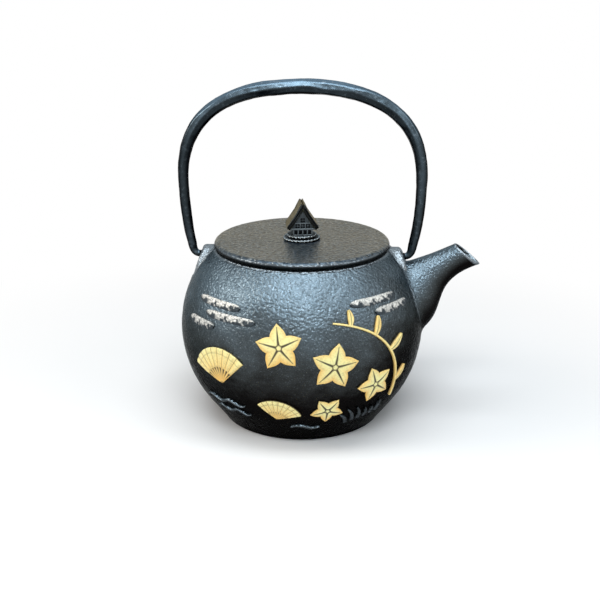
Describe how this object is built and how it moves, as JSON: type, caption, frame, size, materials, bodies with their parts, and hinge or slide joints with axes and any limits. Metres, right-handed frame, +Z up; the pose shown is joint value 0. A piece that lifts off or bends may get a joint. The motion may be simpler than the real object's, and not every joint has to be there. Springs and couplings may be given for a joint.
{
  "type": "cast iron teapot",
  "caption": "Round cast iron teapot with a short spout, a swinging arched bail, a flat lid with a farmhouse knob, raised gilt ornament and a lift-out infuser.",
  "frame": {"origin": "middle of the foot ring, on the plane that the pot stands on", "axes": "+Z up along the pot's axis, +X along the spout, the bail's hinge axis along X"},
  "size_m": [0.1716, 0.141, 0.1949],
  "materials": {
    "cast_iron": "rough satin",
    "bail_iron": "hammered satin",
    "lid_iron": "speckled satin",
    "knob_iron": "satin",
    "enamel": "glossy",
    "steel": "satin",
    "gilt": "satin gold lacquer",
    "silvered": "rubbed silver over black"
  },
  "bodies": {
    "pot": {"pot_shell": "cast_iron", "enamel_lining": "enamel", "spout": "cast_iron", "front_lug": "cast_iron", "rear_lug": "cast_iron", "blossom_relief": "gilt", "fan_relief": "gilt", "stem_relief": "gilt", "reed_relief": "cast_iron", "water_relief": "cast_iron", "mist_relief": "silvered"},
    "handle": {"bail": "bail_iron"},
    "infuser": {"infuser_collar": "steel", "infuser_wall": "steel", "infuser_floor": "steel", "infuser_hem": "steel"},
    "lid": {"lid_plate": "lid_iron", "lid_ring": "lid_iron", "knob_seat": "knob_iron", "knob_house": "knob_iron", "knob_roof": "lid_iron", "knob_rivet": "steel", "knob_washer": "steel"}
  },
  "joints": [
    {"name": "bail_swing", "type": "hinge", "parent": "pot", "child": "handle", "pos_m": [0, 0, 0.095], "axis": [1, 0, 0], "range_deg": [-97, 97]},
    {"name": "infuser_lift", "type": "slide", "parent": "pot", "child": "infuser", "axis": [0, 0, 1], "range_m": [0, 0.056]},
    {"name": "lid_lift", "type": "slide", "parent": "infuser", "child": "lid", "axis": [0, 0, 1], "range_m": [0, 0.056]}
  ]
}
